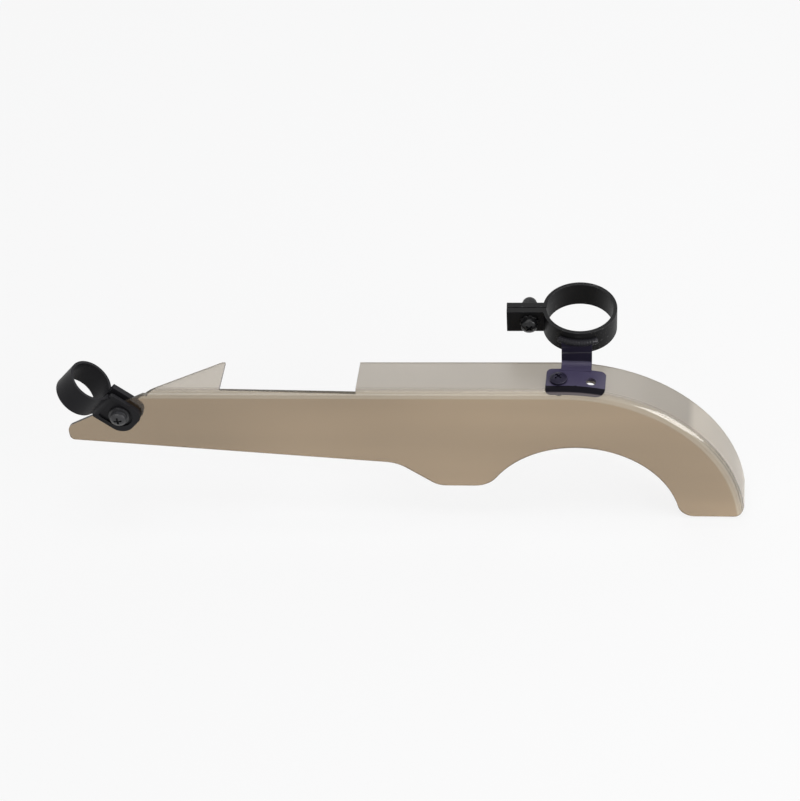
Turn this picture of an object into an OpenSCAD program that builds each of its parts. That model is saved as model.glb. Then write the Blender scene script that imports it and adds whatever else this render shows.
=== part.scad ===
// Chain guard for a bicycle: a smoke-tinted moulded shell that covers the upper chain run and the
// front of the chainring, a steel band for the seat tube and a plastic loop for the stay.
// Millimetres. X runs along the guard towards the front of the bicycle, Y points inboard, Z is up.
// The origin is the centre of the seat tube band's bore.

/* [Shell] */
// Thickness of the moulded shell
wall = 1.5; // [1.3:0.1:2]
// Depth of the top flange, from the outer face of the side plate
flange_depth = 24.6; // [23:0.2:27]
// Outer radius of the fold between side plate and flange
fold_r = 4.6; // [4:0.2:5]
// Outer radius of the flange where it wraps the front of the chainring
hood_r = 93.6; // [92:0.2:95]
// Radius of the crank arch in the lower edge
arch_r = 53.9; // [52:0.1:56]
// Distance of the rear tip behind the chainring axis
tip_back = 273.8; // [272:0.2:276]
// Height of the toe's lower edge above the chainring axis
toe_z = 3.7; // [2:0.1:6]
// Corner radius of the toe on the arch side
toe_arch_r = 9; // [6:0.5:10]
// Corner radius of the toe on the front side
toe_front_r = 6; // [4:0.5:7]

/* [Flange notch] */
// Rear end of the notch, behind the chainring axis
notch_rear = 187.2; // [180:0.2:190]
// Front end of the notch, behind the chainring axis
notch_front = 113.9; // [105:0.2:118]

/* [Seat tube band] */
// Diameter of the seat tube
tube_d = 34.9; // [34:0.1:36]
// Thickness of the band
band_t = 2; // [1.5:0.1:2.2]
// Height of the band
band_h = 14; // [13:0.5:15]
// Lean of the seat tube towards the front
tube_tilt = 3.1; // [2:0.1:4]
// Lean of the seat tube away from the bicycle
tube_lean = 3.4; // [2:0.1:4]
// Distance from the seat tube axis to the outer face of the side plate
tube_to_plate = 41.7; // [41:0.1:42.5]
// Height of the band's centre above the chainring axis
band_z = 108.9; // [108:0.1:109.4]
// Distance of the band's centre ahead of the chainring axis
band_x = 2.7; // [2:0.1:4]
// Thickness of each clamping ear
ear_t = 3.3; // [2.6:0.1:3.4]
// Gap between the ears
ear_gap = 0.6; // [0.4:0.1:1]
// Distance from the tube axis to the ends of the ears
ear_end = 38.4; // [35:0.2:39]
// Turn of the ears about the tube, towards the side plate
ear_turn = 3.2; // [0:0.1:5]
// Distance from the tube axis to the band's bolt
ear_bolt = 26.6; // [25:0.2:28]

/* [Bracket] */
// Thickness of the bracket's sheet steel
sheet = 2; // [1.6:0.1:2.2]
// Rear end of the bracket's foot, relative to the chainring axis
foot_rear = -13.9; // [-15:0.1:-13]
// Angle of the hood at which the foot ends
foot_angle = 13.5; // [12:0.5:14]
// Depth at which the foot ends, from the outer face of the side plate
foot_back = 17.4; // [16:0.2:18]
// Angle that the foot's lip wraps around the fold
lip_wrap = 50; // [40:1:60]
// Width of the bracket's neck
neck_w = 15.8; // [14:0.2:17]
// Inside radius of the neck's bend
bend_r = 2; // [1.5:0.1:2.5]
// Height of the neck's top above the band's centre
neck_top = 1; // [0:0.2:2]
// Depth of the two screw holes, from the outer face of the side plate
hole_y = 8.7; // [8.7:0.1:9.5]
// Place of the rear screw hole, relative to the chainring axis
hole_rear = -7.3; // [-7.8:0.1:-6.5]
// Angle of the hood at the open front hole
hole_angle = 8.9; // [8.4:0.1:9.4]

/* [Stay clip] */
// Diameter of the stay that the loop holds
stay_d = 22; // [21:0.2:22.4]
// Thickness of the loop
loop_t = 1.5; // [1.3:0.1:1.8]
// Width of the loop along the stay
loop_w = 15; // [14:0.5:16]
// Angle of the stay above the line of the guard
stay_angle = 47.4; // [46:0.2:49]
// Thickness of the outer tab
tab_t = 2.2; // [2:0.1:2.4]
// Thickness of the inner tab
inner_t = 3.2; // [2:0.1:3.4]
// Width of the outer tab
tab_w = 19.8; // [18:0.2:20.4]
// Extra width of the inner tab, along its upper edge
inner_extra = 2; // [0:0.2:2.4]
// Distance from the loop's axis to the ends of the tabs
tab_end = 33.7; // [32.5:0.1:34.5]
// Distance from the loop's axis to the screw
tab_screw = 23.6; // [23:0.1:24]
// Depth of the loop's centre behind the outer face of the side plate
loop_y = 2.4; // [2:0.1:2.8]

/* [Fasteners] */
// Thread diameter of the screws and the bolt
screw_d = 4.9; // [4.8:0.05:5]
// Diameter of the clearance holes
clear_d = 5.5; // [5.3:0.1:5.8]
// Width across the flats of the nuts
nut_af = 8; // [7.8:0.1:8]
// Thickness of the nuts
nut_h = 4; // [3.5:0.1:4.5]

/* [Hidden] */
$fn = 96;

// Centre and top of the hood's arc, seen from the side, measured from the chainring axis
hood_x = -5.3;
hood_z = -1.2;
top_z = hood_z + hood_r;
// The rear edge of the plate climbs from the tip at this angle
rear_angle = 27.3;
// A point on the sloping rear edge
rear_x = -229.5;
rear_z = top_z - 1.7;
// The straight lower edge drops by this share of its length
lower_slope = 0.0913;
lower_x = -96.3;
lower_z = 42.24;
// Flat underside of the bump beside the arch
bump_x = -75.4;
bump_z = 25.5;
bump_arch_r = 15;
// The nut under the flange reaches past the crown, where the flange already falls by this much
nut_reach = hole_rear + nut_af / 2 / cos(30) - hood_x;
nut_drop = hood_r - wall - sqrt(pow(hood_r - wall, 2) - pow(nut_reach, 2)) + 0.002;
// Slant of the flange's rear end, seen from above
slant = 31.2;
// Half gap between the ears, their middle plane and the bolt's stack
ear_mid = 0.3;
washer_t = 1;
washer_d = 10;
// Depth of the neck's front face and of the bend's centre in the frame of the leaning tube
tube_r = tube_d / 2;
band_r = tube_r + band_t;
neck_y = -band_r - sheet + 0.3;
// Sideways place of the neck's middle
neck_x = -0.5;
// Height of the foot's seat below the band's centre, measured along the tilted tube
seat_z = (hood_x - band_x) * sin(tube_tilt) + (hood_z - band_z) * cos(tube_tilt) + hood_r;
bend_z = seat_z + 0.15 + sheet + bend_r;
bend_s = (bend_z - (neck_y - bend_r) * sin(tube_lean)) / cos(tube_lean);
bend_y = (neck_y - bend_r) * cos(tube_lean) - bend_s * sin(tube_lean);
// Place of the stay loop's centre, measured from the chainring axis
loop_x = -260.5;
loop_z = top_z + 1.2;
loop_r = stay_d / 2 + loop_t;
slot_y = -loop_y;
// Depth of the sunken field around the screw in the outer tab
recess = 0.9;

// Puts children, drawn from the chainring axis and the plate's outer face, into the part's frame
module from_axis() {
    translate([-band_x, -tube_to_plate, -band_z]) children();
}

// Puts children on the hood at an angle ahead of its crown, with Z along the outward normal
module on_hood(a) {
    translate([hood_x, 0, hood_z]) rotate([0, a, 0]) translate([0, 0, hood_r]) children();
}

// Sweeps a profile (depth, height above the flange) along the straight top from x0 to x1
module along_top(x0, x1) {
    translate([x0, 0, top_z]) rotate([90, 0, 90]) linear_extrude(x1 - x0) children();
}

// Sweeps the same profile around the hood from its crown to an angle
module around_hood(a) {
    translate([hood_x, 0, hood_z]) rotate([-90, 0, 0]) rotate([0, 0, -90])
        rotate_extrude(angle = a, $fn = 360) translate([hood_r, 0]) mirror([1, -1, 0]) children();
}

// The sliver between a corner and its rounding, reaching 1 past the corner's two edges:
// p is the corner, a and b the directions of its edges
module corner(p, a, b, r) {
    h = abs(b - a) / 2;
    m = (a + b) / 2;
    l = (r - 0.01) / tan(h);
    c = p + (r - 0.01) / sin(h) * [cos(m), sin(m)];
    q = p + l * [cos(a), sin(a)];
    t = p + l * [cos(b), sin(b)];
    difference() {
        polygon([p - [cos(m), sin(m)], q + (q - c) / norm(q - c), c, t + (t - c) / norm(t - c)]);
        translate(c) circle(r);
    }
}

// Section of the shell: the flange, the rounded fold and a skirt of side plate below it
module shell_section(skirt) {
    translate([fold_r, -fold_r]) intersection() {
        difference() {
            circle(fold_r);
            circle(fold_r - wall);
        }
        translate([-fold_r, 0]) square(fold_r);
    }
    translate([fold_r, -wall]) square([flange_depth - fold_r, wall]);
    translate([0, -fold_r - skirt]) square([wall, skirt]);
}

// Side view of the plate: the upper side is left open, because the fold limits it
module side_view() {
    lower_angle = -atan(lower_slope);
    tip_low = lower_z - lower_slope * (-tip_back - lower_x);
    tip_high = rear_z + (-tip_back - rear_x) * tan(rear_angle);
    drop_angle = atan2(bump_z - lower_z, bump_x - lower_x);
    toe_c = [sqrt(pow(arch_r + toe_arch_r, 2) - pow(toe_z + toe_arch_r, 2)), toe_z + toe_arch_r];
    bump_c = [-sqrt(pow(arch_r + bump_arch_r, 2) - pow(bump_z + bump_arch_r, 2)), bump_z + bump_arch_r];
    difference() {
        union() {
            polygon([[-tip_back, tip_low], [lower_x, lower_z], [bump_x, bump_z], [0, bump_z], [0, toe_z],
                     [120, toe_z], [120, 110], [rear_x + (110 - rear_z) / tan(rear_angle), 110],
                     [-tip_back, tip_high]]);
            corner([lower_x, lower_z], 180 + lower_angle, 360 + drop_angle, 20);
        }
        corner([-tip_back, tip_low], 90, lower_angle, 3);
        corner([-tip_back, tip_high], rear_angle, -90, 6);
        corner([bump_x, bump_z], 0, 180 + drop_angle, 12);
        circle(arch_r);
        // Rounding from the bump's underside into the arch
        difference() {
            polygon([[bump_c[0], bump_z - 1], bump_c, bump_c * arch_r / (arch_r + bump_arch_r) * 0.99,
                     [-40, bump_z - 1]]);
            translate(bump_c) circle(bump_arch_r);
        }
        // Rounding from the arch into the toe
        difference() {
            polygon([[toe_c[0], toe_z - 1], toe_c, toe_c * arch_r / (arch_r + toe_arch_r) * 0.99,
                     [45, toe_z - 1]]);
            translate(toe_c) circle(toe_arch_r);
        }
        corner([hood_x + sqrt(pow(hood_r, 2) - pow(toe_z - hood_z, 2)), toe_z], 90, 180, toe_front_r);
    }
}

// The moulded shell, in one piece
module guard_shell() {
    color([0.66, 0.60, 0.52]) from_axis() difference() {
        intersection() {
            union() {
                along_top(-tip_back - 10, hood_x) shell_section(90);
                around_hood(96) shell_section(hood_r - fold_r - 40);
            }
            translate([0, flange_depth + 1, 0]) rotate([90, 0, 0]) linear_extrude(flange_depth + 2) side_view();
        }
        // Notch in the flange, and the flange's slanted rear end
        translate([0, 0, top_z - 20]) linear_extrude(30) {
            polygon([[-notch_rear, 3.6], [-notch_front, 2.3], [-notch_front, 40], [-notch_rear, 40]]);
            polygon([[rear_x + wall / tan(slant), wall], [rear_x + 40 / tan(slant), 40], [-300, 40], [-300, wall]]);
        }
        translate([hole_rear, hole_y, top_z - 10]) cylinder(d = clear_d, h = 20);
        on_hood(hole_angle) translate([0, hole_y, -10]) cylinder(d = clear_d, h = 20);
        stay_frame() translate([tab_screw, 0, 0]) rotate([90, 0, 0]) cylinder(d = clear_d, h = 20, center = true);
    }
}

// Frame of the seat tube: Z runs along it
module tube_frame() {
    rotate([0, tube_tilt, 0]) rotate([tube_lean, 0, 0]) children();
}

// Frame of the ears and of their bolt: X points away from them, Y runs along the bolt
module ear_frame() {
    tube_frame() rotate([0, 0, ear_turn]) children();
}

// Round band with two clamping ears at its rear
module seat_tube_band() {
    color([0.17, 0.17, 0.19]) tube_frame() difference() {
        linear_extrude(band_h, center = true) difference() {
            union() {
                circle(band_r);
                rotate(ear_turn) translate([-ear_end, ear_mid - ear_gap / 2 - ear_t])
                    square([ear_end - tube_r - 0.5, 2 * ear_t + ear_gap]);
            }
            circle(tube_r);
            rotate(ear_turn) translate([-ear_end - 1, ear_mid - ear_gap / 2]) square([ear_end, ear_gap]);
        }
        rotate([0, 0, ear_turn]) translate([-ear_bolt, 0, 0]) rotate([90, 0, 0])
            cylinder(d = clear_d, h = 30, center = true);
    }
}

// Section of the bracket's foot: flat on the flange, with a lip around the fold
module foot_section(back) {
    translate([fold_r, 0]) square([back - fold_r, sheet]);
    translate([fold_r, -fold_r]) intersection() {
        difference() {
            circle(fold_r + sheet);
            circle(fold_r);
        }
        polygon([[0, 0], [0, 30], [-30, 30], [-30 * sin(lip_wrap), 30 * cos(lip_wrap)]]);
    }
}

// Cuts a square corner at the origin down to a radius, for an edge that runs along +X and +Y
module round_off(r) {
    difference() {
        translate([-2, -2]) square(r + 1.99);
        translate([r - 0.01, r - 0.01]) circle(r);
    }
}

// Rounds off one corner of the lip, seen square to its end: side is -1 at the rear, 1 at the front
module lip_corner(side, r) {
    translate([0, fold_r, -fold_r]) rotate([lip_wrap, 0, 0]) translate([0, 0, fold_r - 2])
        linear_extrude(sheet + 4) mirror([side < 0 ? 0 : 1, 0]) round_off(r);
}

// Section of the neck around the centre of its bend: flat start, bend, upright and weld behind it
module neck_section() {
    flat = tube_to_plate + bend_y - foot_back + 1.5;
    top = neck_top - bend_s;
    weld = 0.5 - band_h / 2 - bend_s;
    translate([-flat, -bend_r - sheet]) square([flat, sheet]);
    intersection() {
        difference() {
            circle(bend_r + sheet);
            circle(bend_r);
        }
        union() {
            translate([0, -20]) square(20);
            rotate(tube_lean) translate([0, -10]) square([20, 10]);
        }
    }
    rotate(tube_lean) polygon([[bend_r, 0], [bend_r + sheet, 0], [bend_r + sheet, weld],
                               [bend_r + sheet + 0.2, weld], [bend_r + sheet + 0.2, top], [bend_r, top]]);
}

// Pressed steel bracket: foot on the flange, neck bent up to the band, weld along the band
module bracket() {
    color([0.24, 0.23, 0.29]) {
        from_axis() difference() {
            union() {
                along_top(foot_rear, hood_x) foot_section(foot_back);
                around_hood(foot_angle) foot_section(foot_back);
            }
            translate([hole_rear, hole_y, top_z - 10]) cylinder(d = clear_d, h = 20);
            on_hood(hole_angle) translate([0, hole_y, -10]) cylinder(d = clear_d, h = 20);
            translate([foot_rear, foot_back, top_z - 4]) linear_extrude(10) mirror([0, 1]) round_off(3);
            on_hood(foot_angle) translate([0, foot_back, -4]) linear_extrude(10) rotate(180) round_off(3);
            translate([foot_rear, 0, top_z]) lip_corner(-1, 3);
            on_hood(foot_angle) lip_corner(1, 5);
        }
        difference() {
            union() {
                rotate([0, tube_tilt, 0]) translate([neck_x - neck_w / 2, bend_y, bend_z]) rotate([90, 0, 90])
                    linear_extrude(neck_w) neck_section();
                // Weld bead along the neck's top
                tube_frame() translate([0, 0, neck_top + 0.2]) rotate([0, 0, -118])
                    rotate_extrude(angle = 56) translate([band_r + 0.9, 0]) circle(1.8);
            }
            tube_frame() translate([0, 0, -band_h / 2]) cylinder(r = band_r, h = 2 * band_h);
        }
    }
}

// Cross recess in a screw head whose top is at z = 0
module cross_recess(w, depth) {
    for (a = [45, 135])
        rotate([0, 0, a]) translate([-w / 2, -0.55, -depth]) cube([w, 1.1, depth + 1]);
}

// Domed screw: head above z = 0, shank of the given length below it
module domed_screw(head_d, head_h, length) {
    dome_r = head_d * 0.8;
    difference() {
        intersection() {
            cylinder(d = head_d, h = head_h);
            translate([0, 0, head_h - dome_r]) sphere(dome_r);
        }
        translate([0, 0, head_h]) cross_recess(head_d * 0.52, 1.7);
    }
    translate([0, 0, -length]) cylinder(d = screw_d, h = length + 0.5);
}

// Hexagon nut above z = 0, with one flat towards -Y
module hex_nut(h) {
    difference() {
        rotate([0, 0, 30]) intersection() {
            cylinder(d = nut_af / cos(30), h = h, $fn = 6);
            translate([0, 0, h / 2]) sphere(r = nut_af * 0.6 + 0.35);
        }
        translate([0, 0, -1]) cylinder(d = screw_d + 0.1, h = h + 2);
    }
}

// Bolt through the ears, head outboard
module band_bolt() {
    color([0.20, 0.20, 0.22]) ear_frame()
        translate([-ear_bolt, ear_mid - ear_gap / 2 - ear_t - washer_t, 0]) rotate([90, 0, 0])
            domed_screw(8.4, 4.6, 2 * washer_t + 2 * ear_t + ear_gap + 6);
}

// Washers on the outer faces of both ears
module band_washers() {
    color([0.13, 0.13, 0.15]) ear_frame() translate([-ear_bolt, ear_mid, 0]) rotate([90, 0, 0])
        for (side = [-1, 1])
            translate([0, 0, side * (ear_gap / 2 + ear_t + washer_t / 2)]) difference() {
                cylinder(d = washer_d, h = washer_t, center = true);
                cylinder(d = screw_d + 0.3, h = 2 * washer_t, center = true);
            }
}

// Cap nut on the inboard ear: a hexagon with a domed, closed end
module band_nut() {
    color([0.20, 0.20, 0.22]) ear_frame()
        translate([-ear_bolt, ear_mid + ear_gap / 2 + ear_t + washer_t, 0]) rotate([-90, 0, 0]) difference() {
            union() {
                hex_nut(nut_h);
                translate([0, 0, 1]) cylinder(d = nut_af, h = 3.8);
                translate([0, 0, 4.8]) sphere(d = nut_af);
            }
            translate([0, 0, -1]) cylinder(d = screw_d + 0.1, h = 7.6);
        }
}

// Screw through the bracket's foot and the flange
module bracket_screw() {
    color([0.22, 0.21, 0.27]) from_axis() translate([hole_rear, hole_y, top_z + sheet])
        domed_screw(9, 3, sheet + wall + nut_h + 1);
}

// Nut under the flange
module bracket_nut() {
    color([0.20, 0.20, 0.22]) from_axis() translate([hole_rear, hole_y, top_z - wall - nut_h - nut_drop])
        hex_nut(nut_h);
}

// Frame of the stay's loop: X points along the tabs, Z along the stay
module stay_frame() {
    translate([loop_x, loop_y, loop_z]) rotate([0, 90 - stay_angle, 0]) children();
}

// Fills the corner between the loop and a tab's outer face at height v, on the side given by s,
// with a hollow rounding of radius r
module tab_blend(v, s, r) {
    c = [sqrt(pow(loop_r + r, 2) - pow(v + s * r, 2)), v + s * r];
    difference() {
        polygon([c, [c[0], v - s * 0.5], [loop_r * 0.8, v - s * 0.5], c * loop_r / (loop_r + r) * 0.98]);
        translate(c) circle(r);
    }
}

// Flat outline of a tab, seen square to its face: extra width along its upper edge, the reach of
// its root towards the loop, and the radius of its lower end corner
module tab_outline(extra, root, low_r) {
    high = tab_w / 2 + extra;
    difference() {
        translate([loop_r - root, -tab_w / 2]) square([tab_end - loop_r + root, tab_w + extra]);
        corner([tab_end, high], 180, 270, 6);
        corner([tab_end, -tab_w / 2], 90, 180, low_r);
        if (root < 1) corner([loop_r - root, high], -90, 0, 2);
        corner([loop_r - root, -tab_w / 2], 0, 90, 2);
        translate([tab_screw, 0]) circle(d = clear_d);
    }
}

// Outline of the sunken field around the screw, inside the outer tab's rim
module recess_outline() {
    r = tab_w / 2 - 2.5;
    translate([tab_screw, 0]) circle(r);
    translate([tab_screw - 6, -r]) square([6, 2 * r]);
    translate([tab_screw - 6, 0]) intersection() {
        circle(r);
        translate([-3, -r]) square([3, 2 * r]);
    }
}

// Plastic loop around the stay, with two tabs that hold the side plate between them
module stay_clip() {
    color([0.21, 0.21, 0.23]) from_axis() stay_frame() {
        linear_extrude(loop_w, center = true) difference() {
            union() {
                circle(loop_r);
                translate([0, slot_y - tab_t]) square([loop_r + 1, tab_t + wall + inner_t]);
                tab_blend(slot_y - tab_t, -1, 5);
                tab_blend(slot_y + wall + inner_t, 1, 2);
            }
            circle(d = stay_d);
            translate([0, slot_y]) square([30, wall]);
        }
        difference() {
            translate([0, slot_y, 0]) rotate([90, 0, 0]) linear_extrude(tab_t) tab_outline(0, 0.5, 7.5);
            translate([0, slot_y - tab_t + recess, 0]) rotate([90, 0, 0]) linear_extrude(5) recess_outline();
        }
        translate([0, slot_y + wall + inner_t, 0]) rotate([90, 0, 0]) linear_extrude(inner_t)
            tab_outline(inner_extra, 1.2, 6);
    }
}

// Screw through the tabs and the side plate, with a collar under its head
module stay_screw() {
    color([0.30, 0.30, 0.33]) from_axis() stay_frame()
        translate([tab_screw, slot_y - tab_t + recess, 0]) rotate([90, 0, 0]) {
            translate([0, 0, 1]) domed_screw(8.6, 4.4, tab_t - recess + wall + inner_t + nut_h + 2);
            cylinder(d = 11.2, h = 1.6);
        }
}

// Nut on the inner tab
module stay_nut() {
    color([0.20, 0.20, 0.22]) from_axis() stay_frame()
        translate([tab_screw, slot_y + wall + inner_t, 0]) rotate([-90, 0, 0]) hex_nut(nut_h);
}

guard_shell();
seat_tube_band();
bracket();
band_bolt();
band_washers();
band_nut();
bracket_screw();
bracket_nut();
stay_clip();
stay_screw();
stay_nut();
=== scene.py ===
# %% [markdown]
# # A bicycle chain guard, dressed for a studio picture
#
# The exact model already has the right shapes and sizes, so this lesson starts from it. What it adds
# is what a solid made for measuring leaves out: broken edges that catch the light, a rippled weld,
# a washer with teeth, and finishes with grain and wear. Every length is in metres, in the frame of
# the exact model: X runs along the guard to the front, Y towards the bicycle, Z up.

# %% Load the exact model and remember its size
import math

import bmesh
import bpy
import numpy as np
from mathutils import Matrix, Vector


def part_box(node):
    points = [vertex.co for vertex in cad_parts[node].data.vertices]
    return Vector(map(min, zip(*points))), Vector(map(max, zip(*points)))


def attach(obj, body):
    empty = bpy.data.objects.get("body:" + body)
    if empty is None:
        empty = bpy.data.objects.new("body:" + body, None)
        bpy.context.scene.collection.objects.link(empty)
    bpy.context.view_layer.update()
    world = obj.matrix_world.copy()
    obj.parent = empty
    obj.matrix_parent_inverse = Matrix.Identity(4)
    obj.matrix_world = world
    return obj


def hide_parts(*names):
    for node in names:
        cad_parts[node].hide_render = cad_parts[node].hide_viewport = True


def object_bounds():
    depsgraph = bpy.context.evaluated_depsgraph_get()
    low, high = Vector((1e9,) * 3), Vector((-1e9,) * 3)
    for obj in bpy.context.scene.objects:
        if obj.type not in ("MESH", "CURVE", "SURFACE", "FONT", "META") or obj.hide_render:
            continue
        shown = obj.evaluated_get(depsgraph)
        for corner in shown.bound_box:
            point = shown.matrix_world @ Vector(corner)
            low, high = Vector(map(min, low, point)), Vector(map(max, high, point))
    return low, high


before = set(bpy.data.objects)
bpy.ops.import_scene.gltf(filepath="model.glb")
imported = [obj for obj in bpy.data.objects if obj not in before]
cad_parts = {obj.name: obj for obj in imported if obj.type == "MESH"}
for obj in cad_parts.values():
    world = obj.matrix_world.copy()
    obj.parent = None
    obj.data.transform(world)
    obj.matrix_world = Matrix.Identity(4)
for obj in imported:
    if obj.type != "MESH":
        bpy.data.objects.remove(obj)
cad_box = [list(corner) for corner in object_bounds()]
MM = 0.001
print("nodes:", sorted(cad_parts))

# %% [markdown]
# ## The camera
#
# A camera can be found from a picture by least squares: the corners of the object are projected with
# trial values until they fall where the picture has them. That gave a long lens, about a metre and a
# third away, looking down by 42 degrees and turned by 7.6 degrees about its own axis. The three axes
# below are written as columns, because a camera in Blender looks along its own -Z.

# %% Camera at the photograph's viewing angle
IMAGE_W, IMAGE_H, FOCAL_PX = 800, 801, 2500.0
SENSOR_MM = 36.0
AZIMUTH, ELEVATION, ROLL = 11.488, 41.855, -7.575
CAMERA_PLACE = (0.10130, -0.99788, 0.85269)


def add_object(name, data):
    """A new object for this data, linked into the scene at the origin."""
    thing = bpy.data.objects.new(name, data)
    bpy.context.scene.collection.objects.link(thing)
    return thing


def look_axes(azimuth, elevation, roll):
    """Right, up and back: back points from the target to the camera, roll turns the others about it."""
    az, el, ro = map(math.radians, (azimuth, elevation, roll))
    back = Vector((math.sin(az) * math.cos(el), -math.cos(az) * math.cos(el), math.sin(el)))
    flat = Vector((math.cos(az), math.sin(az), 0))
    tall = back.cross(flat)
    right = math.cos(ro) * flat + math.sin(ro) * tall
    up = math.cos(ro) * tall - math.sin(ro) * flat
    return right, up, back


camera_data = bpy.data.cameras.new("camera")
camera_data.sensor_width = SENSOR_MM
camera_data.lens = FOCAL_PX * SENSOR_MM / max(IMAGE_W, IMAGE_H)
camera_data.clip_start = 0.05
camera_data.clip_end = 50
camera = add_object("camera", camera_data)
placed = Matrix(look_axes(AZIMUTH, ELEVATION, ROLL)).transposed().to_4x4()
placed.translation = Vector(CAMERA_PLACE)
camera.matrix_world = placed
bpy.context.scene.camera = camera
print("lens", round(camera_data.lens, 2), "mm")

# %% [markdown]
# ## Short calls for shader nodes
#
# A finish is a tree of small nodes, and most of them do one of a few things: sum two values, pick
# the larger one, or fade from one number to another. Each of those gets a short call here, so that
# a finish below reads like its formula. A value is either a number or a socket of another node.

# %% Materials, sums and fades
def new_material(name):
    """An empty node material; gives the material, its node tree and its Principled shader."""
    material = bpy.data.materials.new(name)
    material.use_nodes = True
    tree = material.node_tree
    return material, tree, next(n for n in tree.nodes if n.type == "BSDF_PRINCIPLED")


def feed(tree, value, socket):
    """Links a socket to this one, or sets it to a number or to a colour of red, green and blue."""
    if isinstance(value, bpy.types.NodeSocket):
        tree.links.new(value, socket)
    else:
        socket.default_value = (*value, 1) if isinstance(value, tuple) else value


def math_node(tree, operation, a, b):
    """One Math node on a and b."""
    node = tree.nodes.new("ShaderNodeMath")
    node.operation = operation
    feed(tree, a, node.inputs[0])
    feed(tree, b, node.inputs[1])
    return node.outputs[0]


def product(tree, a, b):
    """a times b."""
    return math_node(tree, "MULTIPLY", a, b)


def larger(tree, a, b):
    """The larger of a and b."""
    return math_node(tree, "MAXIMUM", a, b)


def fade(tree, value, ends, to=(0.0, 1.0)):
    """Runs straight from one number to the other while value goes between its ends, and holds there."""
    node = tree.nodes.new("ShaderNodeMapRange")
    for label, number in zip(("From Min", "From Max", "To Min", "To Max"), (*ends, *to)):
        node.inputs[label].default_value = number
    tree.links.new(value, node.inputs["Value"])
    return node.outputs["Result"]


# %% [markdown]
# ## Floor, sky and lamps
#
# The picture was taken in a bright white studio. The floor is a wide sheet just under the toe. Rays
# that come from the camera, from a reflection or through the clear plastic see it nearly white, and
# the part that the lamps light is added to that, so a soft shadow stays. Four soft lamps do the
# work: a strong one above, a weak one in front, a wide one high behind that puts a sheen on the
# flange, and one at the right that draws the bright blade along the fold of the hood. The lamp above
# gives light but no mirror image, so that what faces straight up stays deep in colour.

# %% Floor
FLOOR_Z = cad_box[0][2] - 1.5 * MM
FLOOR_HALF = 4.0
FLOOR_GREY = (0.075, 0.075, 0.076)
FLOOR_GLOW = 0.838


def white_to_the_eye(tree):
    """1 for rays from the camera, from gloss and through clear plastic, 0 for light that bounces."""
    ray = tree.nodes.new("ShaderNodeLightPath").outputs
    first = larger(tree, ray["Is Camera Ray"], ray["Is Glossy Ray"])
    return larger(tree, first, ray["Is Transmission Ray"])


floor_mesh = bpy.data.meshes.new("floor")
floor_signs = ((-1, -1), (1, -1), (1, 1), (-1, 1))
floor_corners = [(x * FLOOR_HALF, y * FLOOR_HALF, FLOOR_Z) for x, y in floor_signs]
floor_mesh.from_pydata(floor_corners, [], [(0, 1, 2, 3)])
floor = add_object("floor", floor_mesh)
material, tree, shader = new_material("studio_floor")
feed(tree, FLOOR_GREY, shader.inputs["Base Color"])
shader.inputs["Roughness"].default_value = 0.9
shader.inputs["Specular IOR Level"].default_value = 0.0
shader.inputs["Emission Color"].default_value = (1.0, 1.0, 1.0, 1)
feed(tree, product(tree, white_to_the_eye(tree), FLOOR_GLOW), shader.inputs["Emission Strength"])
floor_mesh.materials.append(material)
print("floor at", round(FLOOR_Z, 4))

# %% Sky and soft lamps
SKY_ON_OBJECT, SKY_SEEN = 0.28, 0.94
GUARD_MIDDLE, HOOD_MIDDLE = (-0.09, 0, -0.02), (0.05, 0, -0.03)

world = bpy.data.worlds.new("studio")
bpy.context.scene.world = world
world.use_nodes = True
tree = world.node_tree
sky = next(n for n in tree.nodes if n.type == "BACKGROUND")
sky.inputs["Color"].default_value = (1, 1, 1, 1)
strength = fade(tree, white_to_the_eye(tree), (0.0, 1.0), (SKY_ON_OBJECT, SKY_SEEN))
tree.links.new(strength, sky.inputs["Strength"])
bpy.context.scene.view_settings.view_transform = "Standard"


def soft_lamp(name, place, target, width, height, watts):
    """A rectangular lamp at a place, turned so that its -Z looks at the target."""
    data = bpy.data.lights.new(name, "AREA")
    data.shape = "RECTANGLE"
    data.size, data.size_y, data.energy = width, height, watts
    lamp = add_object(name, data)
    away = (Vector(place) - Vector(target)).normalized()
    lamp.rotation_euler = away.to_track_quat("Z", "Y").to_euler()
    lamp.location = place
    return lamp


above = soft_lamp("lamp_above", (-0.10, -0.10, 1.60), GUARD_MIDDLE, 1.1, 0.8, 20)
above.visible_glossy = False
soft_lamp("lamp_front", (-0.55, -1.25, 0.85), GUARD_MIDDLE, 0.9, 0.7, 3)
soft_lamp("lamp_behind", (-0.20, 1.30, 1.25), GUARD_MIDDLE, 3.0, 1.3, 13)
soft_lamp("lamp_right", (1.05, -0.50, 0.45), HOOD_MIDDLE, 1.1, 0.75, 20)

# %% [markdown]
# ## Breaking the edges
#
# No real edge is perfectly sharp. Moulded plastic leaves its mould with a small radius, and sheet
# steel is deburred before it is painted, so every edge shows a thin line of light. The exact model
# can't be changed, but a copy of it can. Its loose triangles are merged, the flat ones are joined
# again, and a Bevel modifier rounds every edge that turns by more than 28 degrees. The Weighted
# Normal modifier then keeps the large flat faces flat in the shading. The new narrow faces get a
# finish of their own, which is where the wear will go.

# %% A rounded copy of an exact node
SAME_POINT = 2e-6
STILL_FLAT, SHARP = math.radians(0.4), math.radians(28)
EDGE_SLOT = 1
MOULDED_EDGE, BAND_EDGE, SHEET_EDGE = 0.35 * MM, 0.3 * MM, 0.25 * MM
SCREW_EDGE, NUT_EDGE = 0.18 * MM, 0.2 * MM


def shade_smooth(mesh):
    """Marks every face of a mesh as smooth."""
    mesh.polygons.foreach_set("use_smooth", np.ones(len(mesh.polygons), bool))


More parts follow.
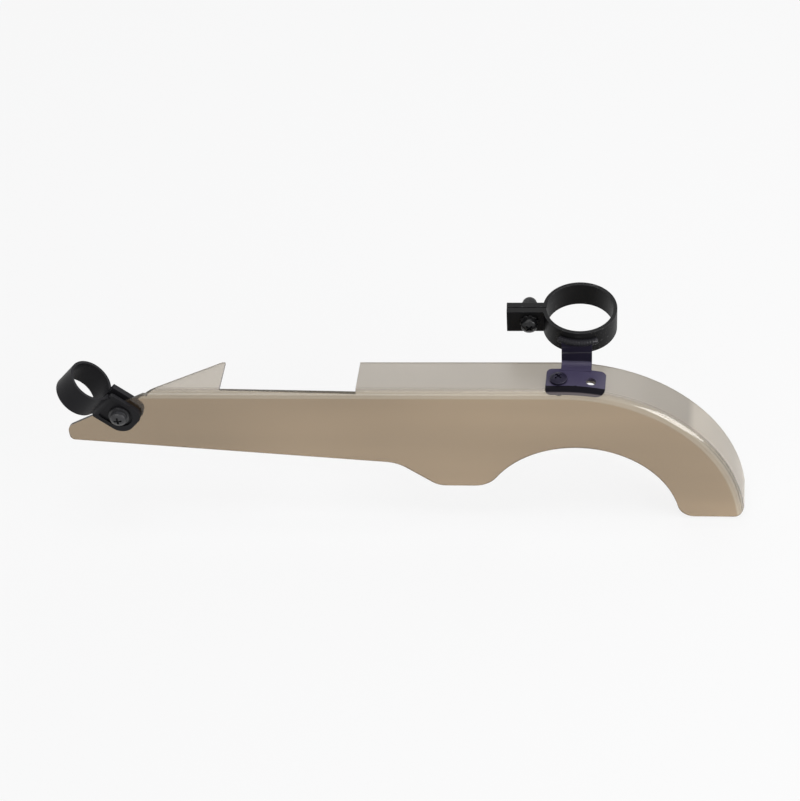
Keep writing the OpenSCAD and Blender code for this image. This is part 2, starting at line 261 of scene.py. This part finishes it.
def rounded_copy(node, name, radius):
    """Merge the node's triangles, dissolve the flat edges, round what is sharp, stand for the node."""
    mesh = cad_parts[node].data.copy()
    mesh.name = name
    mesh.materials.clear()
    work = bmesh.new()
    work.from_mesh(mesh)
    bmesh.ops.remove_doubles(work, verts=work.verts, dist=SAME_POINT)
    bmesh.ops.dissolve_limit(work, angle_limit=STILL_FLAT, verts=work.verts, edges=work.edges)
    work.to_mesh(mesh)
    work.free()
    shade_smooth(mesh)
    piece = add_object(name, mesh)
    bevel = piece.modifiers.new("broken_edges", "BEVEL")
    bevel.width, bevel.segments = radius, 2
    bevel.limit_method, bevel.angle_limit = "ANGLE", SHARP
    bevel.use_clamp_overlap = True
    bevel.material = EDGE_SLOT
    weigh = piece.modifiers.new("flat_faces_first", "WEIGHTED_NORMAL")
    weigh.keep_sharp = True
    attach(piece, "root")
    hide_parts(node)
    print(name, "faces before rounding:", len(mesh.polygons))
    return piece


shell = rounded_copy("guard_shell", "shell", MOULDED_EDGE)
band = rounded_copy("seat_tube_band", "band", BAND_EDGE)
mount_bracket = rounded_copy("bracket", "mount_bracket", SHEET_EDGE)
clip = rounded_copy("stay_clip", "clip", MOULDED_EDGE)
bolt = rounded_copy("band_bolt", "ear_bolt", SCREW_EDGE)
cap_nut = rounded_copy("band_nut", "ear_cap_nut", NUT_EDGE)
foot_screw = rounded_copy("bracket_screw", "foot_screw", SCREW_EDGE)
foot_nut = rounded_copy("bracket_nut", "foot_nut", NUT_EDGE)
clip_screw = rounded_copy("stay_screw", "clip_screw", SCREW_EDGE)
clip_nut = rounded_copy("stay_nut", "clip_nut", NUT_EDGE)

# %% [markdown]
# ## Patterns that several finishes share
#
# Three small effects turn up on more than one material, so each is a node group with named inputs
# and outputs. Fine grain is the skin that a mould or a sprayed coat leaves. Handling marks are thin
# scratches along the guard in two sizes, broken up so that they come and go. Dust and smudges are
# large soft patches that change the gloss a little. All three read Object coordinates, which are
# metres here, so their scales are true sizes.

# %% Places, noise and groups
def place_on_piece(tree):
    """Object coordinates: the place on the piece, in metres."""
    return tree.nodes.new("ShaderNodeTexCoord").outputs["Object"]


def split_axes(tree, place):
    """The X, Y and Z of a place, as sockets that are looked up by name."""
    node = tree.nodes.new("ShaderNodeSeparateXYZ")
    tree.links.new(place, node.inputs[0])
    return node.outputs


def stretched(tree, place, scale, turn=(0.0, 0.0, 0.0)):
    """The place scaled by axis and then turned: a noise on it is long where the scale is small."""
    node = tree.nodes.new("ShaderNodeMapping")
    node.inputs["Rotation"].default_value = turn
    node.inputs["Scale"].default_value = scale
    tree.links.new(place, node.inputs["Vector"])
    return node.outputs[0]


def noise_node(tree, place, scale, detail=3.0, rough=0.5):
    """A Noise Texture read at a place."""
    node = tree.nodes.new("ShaderNodeTexNoise")
    node.inputs["Detail"].default_value = detail
    node.inputs["Roughness"].default_value = rough
    tree.links.new(place, node.inputs["Vector"])
    feed(tree, scale, node.inputs["Scale"])
    return node.outputs[0]


def new_group(name, knob, start, results):
    """A node group with one float input, its knob, and one float output for each result."""
    tree = bpy.data.node_groups.new(name, "ShaderNodeTree")
    tree.interface.new_socket(knob, in_out="INPUT", socket_type="NodeSocketFloat").default_value = start
    for result in results:
        tree.interface.new_socket(result, in_out="OUTPUT", socket_type="NodeSocketFloat")
    entry, leave = tree.nodes.new("NodeGroupInput"), tree.nodes.new("NodeGroupOutput")
    return tree, entry.outputs[knob], leave.inputs


# %% Fine grain, handling marks, dust
SCRATCHES = [(0.35, (12, 900, 900)), (-0.8, (20, 1200, 1200))]


def make_fine_grain():
    """Height = a noise plus half of one four times finer, the skin of a mould; Tone = a broad noise."""
    tree, scale, results = new_group("fine_grain", "Scale", 900.0, ["Height", "Tone"])
    place = place_on_piece(tree)
    coarse = noise_node(tree, place, scale, detail=2.0)
    finer = noise_node(tree, place, product(tree, scale, 4.0), detail=1.0)
    broad = noise_node(tree, place, product(tree, scale, 0.08))
    tree.links.new(math_node(tree, "ADD", coarse, product(tree, finer, 0.5)), results["Height"])
    tree.links.new(broad, results["Tone"])
    return tree


def make_handling_marks():
    """Mask = amount times the larger of two stretched noises, kept near their crests, in patches."""
    tree, amount, results = new_group("handling_marks", "Amount", 0.5, ["Mask"])
    place = place_on_piece(tree)
    crests = []
    for turn, stretch in SCRATCHES:
        along = stretched(tree, place, stretch, (0.3, turn, turn))
        crests.append(fade(tree, noise_node(tree, along, 1.0, detail=1.0), (0.68, 0.74)))
    patch = fade(tree, noise_node(tree, place, 28.0), (0.48, 0.62))
    mask = product(tree, larger(tree, *crests), patch)
    tree.links.new(product(tree, mask, amount), results["Mask"])
    return tree


def make_dust():
    """Mask = amount times the larger of soft clouds and a few fine specks."""
    tree, amount, results = new_group("dust_and_smudges", "Amount", 0.5, ["Mask"])
    place = place_on_piece(tree)
    cloud = fade(tree, noise_node(tree, place, 22.0, detail=4.0, rough=0.6), (0.42, 0.75))
    specks = fade(tree, noise_node(tree, place, 1400.0, detail=0.0), (0.76, 0.8))
    tree.links.new(product(tree, larger(tree, cloud, specks), amount), results["Mask"])
    return tree


fine_grain, handling_marks, dust_and_smudges = make_fine_grain(), make_handling_marks(), make_dust()
print("shared effects:", [g.name for g in bpy.data.node_groups])


# %% Using the effects in a material
# A Mix node keeps one set of sockets for each kind of data, and these are the ones for colours
MIX_ONE, MIX_TWO, MIX_OUT = 6, 7, 2


def put_group(tree, group, **knobs):
    """Places a group in a material with its knob set, and gives its outputs."""
    node = tree.nodes.new("ShaderNodeGroup")
    node.node_tree = group
    for label, value in knobs.items():
        node.inputs[label].default_value = value
    return node.outputs


def mix_colour(tree, mask, one, two, blend="MIX"):
    """The colour one where the mask is 0 and, with the plain blend, two where it is 1."""
    node = tree.nodes.new("ShaderNodeMix")
    node.data_type = "RGBA"
    node.blend_type = blend
    feed(tree, mask, node.inputs[0])
    feed(tree, one, node.inputs[MIX_ONE])
    feed(tree, two, node.inputs[MIX_TWO])
    return node.outputs[MIX_OUT]


def bump(tree, shader, height, distance, strength):
    """Feeds a height into the shader's Normal through a Bump node; distance is in metres."""
    node = tree.nodes.new("ShaderNodeBump")
    node.inputs["Distance"].default_value = distance
    node.inputs["Strength"].default_value = strength
    tree.links.new(height, node.inputs["Height"])
    tree.links.new(node.outputs[0], shader.inputs["Normal"])


def vary(tree, shader, socket, mask, low, high):
    """Runs a socket of the shader from low to high with a mask."""
    tree.links.new(fade(tree, mask, (0.0, 1.0), (low, high)), shader.inputs[socket])


def dress(piece, slot, *finishes):
    """Gives a piece its finishes, faces first, rounded edges second; the slot is not used."""
    piece.data.materials.clear()
    for finish in finishes:
        piece.data.materials.append(finish)


# %% [markdown]
# ## Smoke-coloured plastic
#
# The shell is clear plastic with a brown-grey tint. Most of the light goes through, so Transmission
# Weight is high, and the tint is the Base Color, which the shader splits over the two surfaces that
# a ray crosses. The share of transmission that is missing stands for the light that is scattered
# inside. Three things change the tint from place to place. The flange lies flat under the lamps and
# is duller, and its tint is painted paler and greyer as a painted sheen of the light from above,
# palest at its rear, with a painted reflection on the steep end of the hood. Two pale bands along the
# fold are painted highlights: a colour ramp over the depth behind the plate's face puts them there,
# and a mask adds painted shade, a dark crease where the hood turns away. And the shell has slow
# clouds and faint streaks along its length, with a paler toe. All of it could be painted on an
# unwrapped image, but masks that are worked out from X, Y and Z stay sharp at any distance and need
# no image.

# %% The tint over the fold and the flange, with painted highlights and painted sheen
SHELL_LOW, SHELL_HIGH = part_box("guard_shell")
FOLD_Y = SHELL_LOW.y
RAMP_MM = 8.0
# The plate's tint at its face, two pale bands along the fold that are painted highlights, then the
# paler, greyer flange tint that is painted sheen
FOLD_TINTS_AND_HIGHLIGHTS = [(0.00, (0.330, 0.222, 0.128)), (0.02, (0.335, 0.228, 0.133)),
              (0.10, (0.440, 0.370, 0.280)), (0.28, (0.430, 0.360, 0.270)),
              (0.55, (0.380, 0.310, 0.235)), (1.10, (0.470, 0.415, 0.325)),
              (1.80, (0.475, 0.420, 0.332)), (2.70, (0.375, 0.330, 0.270)),
              (4.60, (0.385, 0.346, 0.298)), (7.60, (0.400, 0.367, 0.320))]


def fold_tint_and_highlight_ramp(tree, depth):
    """Tint with painted highlights and sheen as a colour ramp over depth / 8 mm; each row of the table
    gives a depth in mm and its tint.
    """
    ramp = tree.nodes.new("ShaderNodeValToRGB")
    stops = ramp.color_ramp.elements
    for i, (mm, tint) in enumerate(FOLD_TINTS_AND_HIGHLIGHTS):
        stop = stops[i] if i < 2 else stops.new(mm / RAMP_MM)
        stop.position = mm / RAMP_MM
        stop.color = (*tint, 1)
    tree.links.new(math_node(tree, "DIVIDE", depth, RAMP_MM * MM), ramp.inputs[0])
    return ramp.outputs["Color"]


# %% Smoke plastic
# Each pair says where a change of tint starts and where it is complete: in depth behind the plate's
# face, in height for the toe, and along the guard for the rest
# The flange starts this deep behind the plate's face: it is duller there and carries painted sheen
FLANGE_DULL_AND_SHEEN = (3.0 * MM, 5.2 * MM)
# Where the dark crease of painted shade opens and closes, in depth behind the plate's face
CREASE_SHADE_OPENS, CREASE_SHADE_CLOSES = (2.6 * MM, 3.1 * MM), (3.7 * MM, 3.2 * MM)
TOE = (SHELL_LOW.z + 30 * MM, SHELL_LOW.z)
STEEP_HOOD = (SHELL_HIGH.x - 29 * MM, SHELL_HIGH.x - 25.5 * MM)
LOWER_HOOD = (SHELL_HIGH.x - 26 * MM, SHELL_HIGH.x - 14 * MM)
REAR_FLANGE = (SHELL_LOW.x + 220 * MM, SHELL_LOW.x + 60 * MM)
PLASTIC_IOR = 1.5


def scale_colour(tree, colour, mask, low, high):
    """The colour times a grey that goes from low to high with the mask."""
    grey = mix_colour(tree, mask, (low,) * 3, (high,) * 3)
    return mix_colour(tree, 1.0, colour, grey, "MULTIPLY")


def smoke_plastic(name):
    """Tint = fold ramp with painted highlights x clouds x streaks x toe x painted sheen on the flange
    ends x painted crease shade; the flange is dull.
    """
    material, tree, shader = new_material(name)
    shader.inputs["Transmission Weight"].default_value = 0.88
    shader.inputs["IOR"].default_value = PLASTIC_IOR
    grain = put_group(tree, fine_grain, Scale=700.0)
    smudge = put_group(tree, dust_and_smudges, Amount=1.0)
    marks = put_group(tree, handling_marks, Amount=0.7)
    place = place_on_piece(tree)
    axes = split_axes(tree, place)
    depth = math_node(tree, "SUBTRACT", axes["Y"], FOLD_Y)

    clouds = fade(tree, noise_node(tree, place, 7.0, detail=1.0), (0.35, 0.65))
    along = stretched(tree, place, (5, 5, 45))
    streaks = fade(tree, noise_node(tree, along, 1.0, detail=2.0), (0.35, 0.65))
    on_flange = fade(tree, depth, FLANGE_DULL_AND_SHEEN)
    # Painted light on the flange: a painted reflection on the steep end of the hood, and painted sheen
    # at its rear
    steep_hood_reflection = product(tree, fade(tree, axes["X"], STEEP_HOOD), on_flange)
    rear_flange_sheen = product(tree, fade(tree, axes["X"], REAR_FLANGE), on_flange)
    # Painted shade: a dark crease along the fold, on the lower hood where it turns away
    crease_shade = product(tree, fade(tree, depth, CREASE_SHADE_OPENS), fade(tree, depth, CREASE_SHADE_CLOSES))
    lower_crease_shade = product(tree, crease_shade, fade(tree, axes["X"], LOWER_HOOD))

    tint = fold_tint_and_highlight_ramp(tree, depth)
    # Clouds, streaks and the toe change the plastic's own tone; the flange ends are painted sheen and
    # reflection, and the crease is painted shade
    for mask, low, high in ((clouds, 0.90, 1.08), (streaks, 0.96, 1.04),
                            (fade(tree, axes["Z"], TOE), 1.0, 1.26),
                            (steep_hood_reflection, 1.0, 1.5), (rear_flange_sheen, 1.0, 1.42), (lower_crease_shade, 1.0, 0.30)):
        tint = scale_colour(tree, tint, mask, low, high)
    tree.links.new(tint, shader.inputs["Base Color"])

    handled = larger(tree, product(tree, smudge["Mask"], 0.3), product(tree, marks["Mask"], 0.5))
    vary(tree, shader, "Roughness", larger(tree, handled, on_flange), 0.09, 0.36)
    bump(tree, shader, grain["Height"], 0.01 * MM, 0.12)
    return material


def smoke_edge_plastic(name, tint):
    """The same plastic seen end-on: darker, duller, with a fine saw grain."""
    material, tree, shader = new_material(name)
    shader.inputs["Transmission Weight"].default_value = 0.45
    shader.inputs["IOR"].default_value = PLASTIC_IOR
    grain = put_group(tree, fine_grain, Scale=1600.0)
    darker = tuple(0.8 * c for c in tint)
    tree.links.new(mix_colour(tree, grain["Tone"], darker, tint), shader.inputs["Base Color"])
    vary(tree, shader, "Roughness", grain["Tone"], 0.2, 0.3)
    bump(tree, shader, grain["Height"], 0.02 * MM, 0.3)
    return material


smoke = smoke_plastic("smoke_plastic_face")
smoke_edge = smoke_edge_plastic("smoke_plastic_edge", (0.070, 0.058, 0.048))
dress(shell, "smoke_plastic", smoke, smoke_edge)

# %% [markdown]
# The cut faces of the sheet get the darker finish as well. They are the faces that stand square to
# the plate inside its thickness, the wall of the notch just under the flange's top, and the ends of
# the flange beside the notch.

# %% Cut faces of the shell
# The plate's thickness, the band under the flange's top and behind the plate's face that holds the
# notch's wall, and an X that all the flange's cut ends lie behind
WALL = 1.5 * MM
NOTCH_WALL_H, NOTCH_WALL_Y = 2.2 * MM, 5 * MM
CUT_ENDS_X = -90 * MM


def is_cut(face):
    """A face in the plate's thickness, on the notch's wall, or at an end of the flange by the notch."""
    middle, outward = face.center, face.normal
    in_plate = middle.y < FOLD_Y + WALL and abs(outward.y) < 0.2
    near_top = middle.z > SHELL_HIGH.z - NOTCH_WALL_H and middle.y < FOLD_Y + NOTCH_WALL_Y
    notch_wall = near_top and outward.y > 0.9
    flange_end = abs(outward.z) < 0.3 and abs(outward.x) > 0.3 and middle.x < CUT_ENDS_X
    return in_plate or notch_wall or flange_end


cut_faces = [face for face in shell.data.polygons if is_cut(face)]
for face in cut_faces:
    face.material_index = EDGE_SLOT
print("shell finish:", [m.name for m in shell.data.materials], "cut faces:", len(cut_faces))

# %% [markdown]
# ## Black steel, screws and black plastic
#
# The band, the bracket and the screws are steel with a thin black coat. The coat has a faint
# orange-peel skin and is rubbed bright in places along the rounded edges, so the edge faces mix the
# coat with bare steel through a patchy mask. The plastic of the clip has a finer matt skin and no
# bare metal, only edges polished by handling. One function makes every steel coat, because they
# differ only in their colours and in a few numbers.

# %% Coated steel
BARE_STEEL = (0.33, 0.32, 0.33)
# A pale painted reflection along the lip's lower edge, and how far its edge fades
PALE_HEM_REFLECTION, HEM_REFLECTION_BLUR = (0.085, 0.074, 0.078), 0.25 * MM
PAINT_GRAIN, SCREW_GRAIN = 1500.0, 2500.0


def coated_steel(name, coat, coat_light, rough, gloss, wear=0.0, grain_scale=PAINT_GRAIN, reflection_hem_y=None):
    """Coat that the smudges lighten, bare where it is rubbed or scratched; more wear lays more bare.

    reflection_hem_y, where given, is the Y in metres below which the coat turns to a pale painted
    reflection."""
    material, tree, shader = new_material(name)
    grain = put_group(tree, fine_grain, Scale=grain_scale)
    smudge = put_group(tree, dust_and_smudges, Amount=0.8)
    marks = put_group(tree, handling_marks, Amount=0.6)
    place = place_on_piece(tree)
    patches = noise_node(tree, place, 420.0, detail=4.0, rough=0.65)
    rubbed = fade(tree, patches, (0.62 - 0.35 * wear, 0.74 - 0.3 * wear))
    worn = product(tree, rubbed, min(1.0, 1.4 * wear))
    bare = larger(tree, worn, product(tree, marks["Mask"], 0.35))
    painted = mix_colour(tree, smudge["Mask"], coat, coat_light)
    # Below the hem's height the coat turns to a pale painted reflection of the bright front
    if reflection_hem_y is not None:
        hem_reflection = fade(tree, split_axes(tree, place)["Y"], (reflection_hem_y + HEM_REFLECTION_BLUR, reflection_hem_y - HEM_REFLECTION_BLUR))
        painted = mix_colour(tree, hem_reflection, painted, PALE_HEM_REFLECTION)
    tree.links.new(mix_colour(tree, bare, painted, BARE_STEEL), shader.inputs["Base Color"])
    vary(tree, shader, "Metallic", bare, 0.0, 0.85)
    vary(tree, shader, "Roughness", smudge["Mask"], rough, rough + 0.14)
    shader.inputs["Specular IOR Level"].default_value = gloss
    bump(tree, shader, grain["Height"], 0.03 * MM, 0.5)
    return material


# %% Band
band_face = coated_steel("band_coat", (0.0042, 0.0042, 0.0045), (0.0075, 0.0075, 0.0080),
                         rough=0.42, gloss=0.11)
band_edge = coated_steel("band_coat_worn", (0.010, 0.010, 0.011), (0.017, 0.017, 0.018),
                         rough=0.36, gloss=0.18, wear=0.12)
dress(band, "black_steel", band_face, band_edge)

# %% [markdown]
# The bracket is pressed from one strip and has one coat, but light falls on its parts in three ways:
# a lit, glossy blue-black on the foot that faces up, a darker and duller painted shade on the upright
# neck, and the deepest painted shade on the lip that hangs over the fold, with a pale painted
# reflection along the lip's lower edge. The faces could be picked by hand. Picking them by where they
# lie is shorter: faces near the plate's front are the lip, and faces well above the foot are the neck.

# %% Bracket: foot and its edges, then the upright neck, then the shaded lip
# The neck starts this high above the foot; the lip's painted shade and its hem, a pale painted
# reflection, end this far behind the plate's face
UPRIGHT_SLOT, SHADE_SLOT = 2, 3
SCREW_HEAD_H, NECK_STARTS = 3.0 * MM, 2.6 * MM
LIP_DEPTH, HEM_REFLECTION_DEPTH = 4.2 * MM, 0.6 * MM

# The foot's coat is the lit one; the neck's and the lip's below are the same coat painted darker as
# shade
plate_face = coated_steel("bracket_coat", (0.030, 0.025, 0.052), (0.040, 0.034, 0.066),
                          rough=0.40, gloss=0.4)
plate_edge = coated_steel("bracket_coat_worn", (0.034, 0.029, 0.058), (0.046, 0.040, 0.074),
                          rough=0.36, gloss=0.4, wear=0.12)
upright_face = coated_steel("bracket_coat_upright", (0.0095, 0.0080, 0.0170), (0.0140, 0.0120, 0.0240),
                            rough=0.42, gloss=0.14)
# Deepest painted shade on the lip, with a pale painted reflection along its lower edge
shade_face = coated_steel("bracket_coat_shaded", (0.0035, 0.0030, 0.0050), (0.0060, 0.0052, 0.0080),
                          rough=0.5, gloss=0.06, reflection_hem_y=FOLD_Y + HEM_REFLECTION_DEPTH)
dress(mount_bracket, "bracket_steel", plate_face, plate_edge, upright_face, shade_face)
foot_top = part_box("bracket_screw")[1].z - SCREW_HEAD_H
for face in mount_bracket.data.polygons:
    if face.center.y < FOLD_Y + LIP_DEPTH:
        face.material_index = SHADE_SLOT
    elif face.center.z > foot_top + NECK_STARTS:
        face.material_index = UPRIGHT_SLOT
print("bracket finish:", [m.name for m in mount_bracket.data.materials])

# %% [markdown]
# Screws and nuts carry the same kind of coat with a finer grain, since they are turned and not
# sprayed. The bolt in the ears and the screw in the clip face the light and a tool has turned them,
# so they are glossier and a little more worn. The screw in the foot shares the coats of the bracket.

# %% Screws and nuts
screw_face = coated_steel("screw_coat", (0.0055, 0.0055, 0.0060), (0.010, 0.010, 0.011),
                          rough=0.28, gloss=0.18, wear=0.02, grain_scale=SCREW_GRAIN)
screw_edge = coated_steel("screw_coat_worn", (0.012, 0.012, 0.013), (0.020, 0.020, 0.022),
                          rough=0.24, gloss=0.35, wear=0.2, grain_scale=SCREW_GRAIN)
bolt_face = coated_steel("bolt_coat", (0.0050, 0.0050, 0.0055), (0.010, 0.010, 0.011),
                         rough=0.20, gloss=0.33, wear=0.08, grain_scale=SCREW_GRAIN)
clip_screw_face = coated_steel("clip_screw_coat", (0.022, 0.022, 0.024), (0.034, 0.034, 0.037),
                               rough=0.28, gloss=0.45, wear=0.08, grain_scale=SCREW_GRAIN)
for nut in (cap_nut, foot_nut, clip_nut):
    dress(nut, "black_screw", screw_face, screw_edge)
dress(bolt, "black_screw", bolt_face, screw_edge)
dress(foot_screw, "bracket_steel", upright_face, plate_edge)
dress(clip_screw, "stay_screw_steel", clip_screw_face, screw_edge)

# %% [markdown]
# The clip is moulded in one piece from a black plastic. The mould leaves a fine matt skin on it, and
# hands polish that skin a little. The plastic is black all through, so wear changes its gloss and
# its depth of colour, and lays nothing bare.

# %% Black moulded plastic
def black_plastic(name, dark, light, rough):
    """Fine matt skin with a lighter, glossier bloom where hands polish it; scratches add gloss only."""
    material, tree, shader = new_material(name)
    grain = put_group(tree, fine_grain, Scale=1100.0)
    smudge = put_group(tree, dust_and_smudges, Amount=0.9)
    marks = put_group(tree, handling_marks, Amount=0.8)
    tree.links.new(mix_colour(tree, smudge["Mask"], dark, light), shader.inputs["Base Color"])
    uneven = larger(tree, smudge["Mask"], marks["Mask"])
    vary(tree, shader, "Roughness", uneven, rough, rough - 0.12)
    shader.inputs["Specular IOR Level"].default_value = 0.15
    bump(tree, shader, grain["Height"], 0.04 * MM, 0.55)
    return material


clip_face = black_plastic("clip_plastic", (0.0070, 0.0068, 0.0082), (0.0120, 0.0118, 0.0138), 0.46)
clip_edge = black_plastic("clip_plastic_polished", (0.014, 0.014, 0.016), (0.024, 0.024, 0.026), 0.36)
dress(clip, "black_plastic", clip_face, clip_edge)
print("finishes:", len(bpy.data.materials))

# %% [markdown]
# ## A ring swept around the tube: the weld bead
#
# The bracket is welded to the band along the top of its neck. A weld is laid in small steps, and
# each step leaves a scale. A bead like this can be sculpted, but a formula is shorter: a circle is
# carried along an arc around the tube, and its radius grows and shrinks once per scale and closes
# to nothing at both ends.

# %% A grid of points turned into a mesh
GRID_SAME_POINT = 1e-6


def grid_mesh(name, points, closed=False):
    """points[i, j] are corners and four neighbours make a face; j always joins up, i does if closed."""
    rows, columns = points.shape[:2]
    index = np.arange(rows * columns).reshape(rows, columns)
    index = np.hstack([index, index[:, :1]])
    if closed:
        index = np.vstack([index, index[:1]])
    corners = [index[:-1, :-1], index[1:, :-1], index[1:, 1:], index[:-1, 1:]]
    faces = np.stack(corners, axis=-1).reshape(-1, 4)
    mesh = bpy.data.meshes.new(name)
    mesh.from_pydata(points.reshape(-1, 3).tolist(), [], faces.tolist())
    work = bmesh.new()
    work.from_mesh(mesh)
    bmesh.ops.remove_doubles(work, verts=work.verts, dist=GRID_SAME_POINT)
    bmesh.ops.recalc_face_normals(work, faces=work.faces)
    work.to_mesh(mesh)
    work.free()
    shade_smooth(mesh)
    piece = add_object(name, mesh)
    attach(piece, "root")
    print(name, "faces:", len(mesh.polygons))
    return piece


def turned(points, axis, degrees):
    """Turns points about the X, Y or Z axis by the right-hand rule."""
    c, s = math.cos(math.radians(degrees)), math.sin(math.radians(degrees))
    matrix = {"X": [[1, 0, 0], [0, c, -s], [0, s, c]],
              "Y": [[c, 0, s], [0, 1, 0], [-s, 0, c]],
              "Z": [[c, -s, 0], [s, c, 0], [0, 0, 1]]}[axis]
    return points @ np.array(matrix).T


# %% From the seat tube's own frame into the model
# The tube passes through the origin, tilted about Y and leaning about X, in degrees
TUBE_TILT, TUBE_LEAN = 3.1, 3.4


def along_tube(points):
    """From the seat tube's own frame (mm) into the frame of the model (metres)."""
    return turned(turned(points, "X", TUBE_LEAN), "Y", TUBE_TILT) * MM


# %% The weld bead
# In mm: the band's outer radius, the top of the neck, the bead's radius and its middle, which lies
# this far out from the band and above the neck's top
BAND_R, NECK_TOP, BEAD_R, BEAD_OUT, BEAD_UP = 19.45, 1.0, 1.9, 0.9, 0.2
BEAD_SCALES, BEAD_HALF_ANGLE = 15, 29.5


def weld_bead():
    """Torus sector; its radius swings 2.5 percent once per scale, 1 percent more slowly, and closes."""
    t = np.linspace(-1, 1, 181)[:, None]
    turn = np.linspace(0, 2 * np.pi, 33)[None, :-1]
    swing = 1 + 0.025 * np.sin(np.pi * BEAD_SCALES * t) + 0.01 * np.sin(37 * t)
    closing = (1 - np.abs(t) ** 60) ** 0.5
    radius = BEAD_R * swing * closing
    angle = np.radians(-90 + BEAD_HALF_ANGLE * t)
    reach = BAND_R + BEAD_OUT + radius * np.cos(turn)
    lift = NECK_TOP + BEAD_UP + radius * np.sin(turn)
    points = np.stack([reach * np.cos(angle), reach * np.sin(angle), lift], axis=-1)
    return grid_mesh("weld_bead", along_tube(points))


bead = weld_bead()
bead_coat = coated_steel("weld_coat", (0.0060, 0.0058, 0.0075), (0.0100, 0.0095, 0.0120),
                         rough=0.40, gloss=0.2)
dress(bead, "bracket_steel", bead_coat)

# %% [markdown]
# ## The toothed washer under the bolt head
#
# The washer that shows behind the bolt head has teeth bent out of its rim, so that it bites into
# the ear and can't turn. Its outline is a circle whose radius rises and falls ten times, and each
# tooth twists the rim a little out of flat. The washer on the far side is plain. Both replace the
# plain washers of the exact model and stay the same size.

# %% Washers
# The ears, in mm and degrees: their middle plane, half their gap, their thickness, the distance of
# their bolt from the tube's axis, and their turn about it
EAR_MID, EAR_HALF_GAP, EAR_T, EAR_BOLT, EAR_TURN = 0.3, 0.3, 3.3, 26.6, 3.2
# The washers, in mm: the bottom of the teeth, the teeth's height, the hole and the twist of a tooth
ROOT_R, TOOTH_H, HOLE_R, TWIST = 4.35, 0.65, 2.62, 0.16
# Corners of the section: share of the way from the hole to the rim, and share of the thickness
SECTION_OUT = np.array([0.0, 0.04, 0.35, 0.7, 0.95, 1.0, 1.0, 0.95, 0.7, 0.35, 0.04, 0.0])[None, :]
SECTION_UP = np.array([0.12, 0.0, 0.0, 0.0, 0.0, 0.12, 0.88, 1.0, 1.0, 1.0, 1.0, 0.88])[None, :]


def washer(name, face_y, side, teeth):
    """A ring 1 mm thick: its section is carried round; the rim's radius and twist swing by tooth."""
    around = np.linspace(0, 2 * np.pi, 241)[:-1, None]
    saw = 0.5 + 0.5 * np.tanh(3 * np.sin(teeth * around)) if teeth else np.ones_like(around)
    twist = TWIST * np.cos(teeth * around) if teeth else np.zeros_like(around)
    radius = HOLE_R + (ROOT_R + TOOTH_H * saw - HOLE_R) * SECTION_OUT
    y = face_y + side * np.clip(SECTION_UP + twist * SECTION_OUT ** 3 * 0.7, 0.0, 1.0)
    points = np.stack([radius * np.cos(around) - EAR_BOLT, y, radius * np.sin(around)], axis=-1)
    return grid_mesh(name, along_tube(turned(points, "Z", EAR_TURN)), closed=True)


near_washer = washer("toothed_washer", EAR_MID - EAR_HALF_GAP - EAR_T, -1, teeth=10)
far_washer = washer("plain_washer", EAR_MID + EAR_HALF_GAP + EAR_T, 1, teeth=0)
for ring in (near_washer, far_washer):
    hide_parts("band_washers")
    dress(ring, "black_screw", screw_face)
print("washer box:", [tuple(round(v, 4) for v in near_washer.bound_box[i]) for i in (0, 6)])

# %% [markdown]
# ## The exact model's box
#
# The dressed pieces are made to fill the same box as the exact model; this cell prints the exact box.

# %% Print the exact model's box
print("exact box", [[round(v, 4) for v in c] for c in cad_box])
